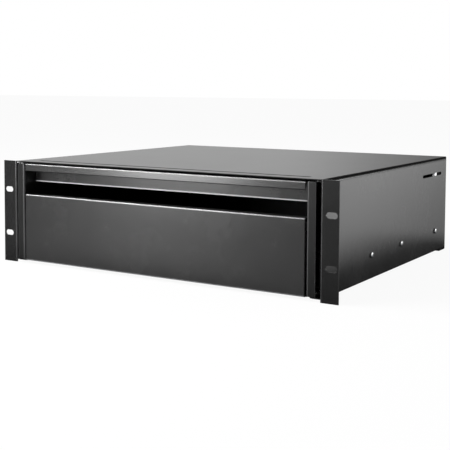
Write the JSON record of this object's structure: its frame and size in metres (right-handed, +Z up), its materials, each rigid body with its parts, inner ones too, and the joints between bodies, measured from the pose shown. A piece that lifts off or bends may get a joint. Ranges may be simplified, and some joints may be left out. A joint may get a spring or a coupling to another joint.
{
  "type": "rack drawer",
  "caption": "Sliding drawer in a rack-mount sheet-metal case, with slotted ears, a finger opening over its front panel and ball-bearing slides.",
  "frame": {"origin": "centre of the four rack slots, on the front face of the ears", "axes": "+X to the right of someone who faces the drawer, +Y back into the rack, +Z up"},
  "size_m": [0.4826, 0.409, 0.1324],
  "materials": {
    "black_powder_coat": "fine satin black powder coat",
    "black_slide_coat": "thin black electro-coat on rolled steel",
    "zinc_plate": "dull zinc plating on stamped steel",
    "bright_zinc": "bright zinc plating",
    "polished_steel": "polished bearing steel",
    "black_rivet": "black painted steel",
    "black_rubber": "moulded rubber"
  },
  "bodies": {
    "case": {"top_and_back_cover": "black_powder_coat", "cover_rivets": "black_rivet", "left_side_wall": "black_powder_coat", "left_nut_plate": "bright_zinc", "left_slide_outer_member": "black_slide_coat", "left_slide_bumper": "black_rubber", "left_slide_screws": "bright_zinc", "right_side_wall": "black_powder_coat", "right_nut_plate": "bright_zinc", "right_slide_outer_member": "black_slide_coat", "right_slide_bumper": "black_rubber", "right_slide_screws": "bright_zinc"},
    "drawer": {"front_panel": "black_powder_coat", "header_rail": "black_powder_coat", "drawer_floor": "black_powder_coat", "drawer_back": "black_powder_coat", "slide_rivets": "black_rivet", "drawer_side_rivets": "black_rivet", "drawer_floor_rivets": "black_rivet", "drawer_left_side": "black_powder_coat", "left_slide_inner_member": "black_slide_coat", "drawer_right_side": "black_powder_coat", "right_slide_inner_member": "black_slide_coat"},
    "left_slide_middle": {"left_slide_middle_member": "black_slide_coat"},
    "left_outer_cage": {"left_outer_ball_cage": "zinc_plate", "left_outer_balls": "polished_steel"},
    "left_inner_cage": {"left_inner_ball_cage": "zinc_plate", "left_inner_balls": "polished_steel"},
    "right_slide_middle": {"right_slide_middle_member": "black_slide_coat"},
    "right_outer_cage": {"right_outer_ball_cage": "zinc_plate", "right_outer_balls": "polished_steel"},
    "right_inner_cage": {"right_inner_ball_cage": "zinc_plate", "right_inner_balls": "polished_steel"}
  },
  "joints": [
    {"name": "drawer_slide", "type": "slide", "parent": "case", "child": "drawer", "axis": [0, -1, 0], "range_m": [0, 0.38]},
    {"name": "left_slide_middle_travel", "type": "slide", "parent": "case", "child": "left_slide_middle", "axis": [0, -1, 0], "range_m": [0, 0.19]},
    {"name": "left_outer_cage_travel", "type": "slide", "parent": "case", "child": "left_outer_cage", "axis": [0, -1, 0], "range_m": [0, 0.095]},
    {"name": "left_inner_cage_travel", "type": "slide", "parent": "left_slide_middle", "child": "left_inner_cage", "axis": [0, -1, 0], "range_m": [0, 0.095]},
    {"name": "right_slide_middle_travel", "type": "slide", "parent": "case", "child": "right_slide_middle", "axis": [0, -1, 0], "range_m": [0, 0.19]},
    {"name": "right_outer_cage_travel", "type": "slide", "parent": "case", "child": "right_outer_cage", "axis": [0, -1, 0], "range_m": [0, 0.095]},
    {"name": "right_inner_cage_travel", "type": "slide", "parent": "right_slide_middle", "child": "right_inner_cage", "axis": [0, -1, 0], "range_m": [0, 0.095]}
  ],
  "couplings": [
    {"joint": "left_slide_middle_travel", "follows": "drawer_slide", "ratio": 0.5},
    {"joint": "left_outer_cage_travel", "follows": "drawer_slide", "ratio": 0.25},
    {"joint": "left_inner_cage_travel", "follows": "drawer_slide", "ratio": 0.25},
    {"joint": "right_slide_middle_travel", "follows": "drawer_slide", "ratio": 0.5},
    {"joint": "right_outer_cage_travel", "follows": "drawer_slide", "ratio": 0.25},
    {"joint": "right_inner_cage_travel", "follows": "drawer_slide", "ratio": 0.25}
  ]
}
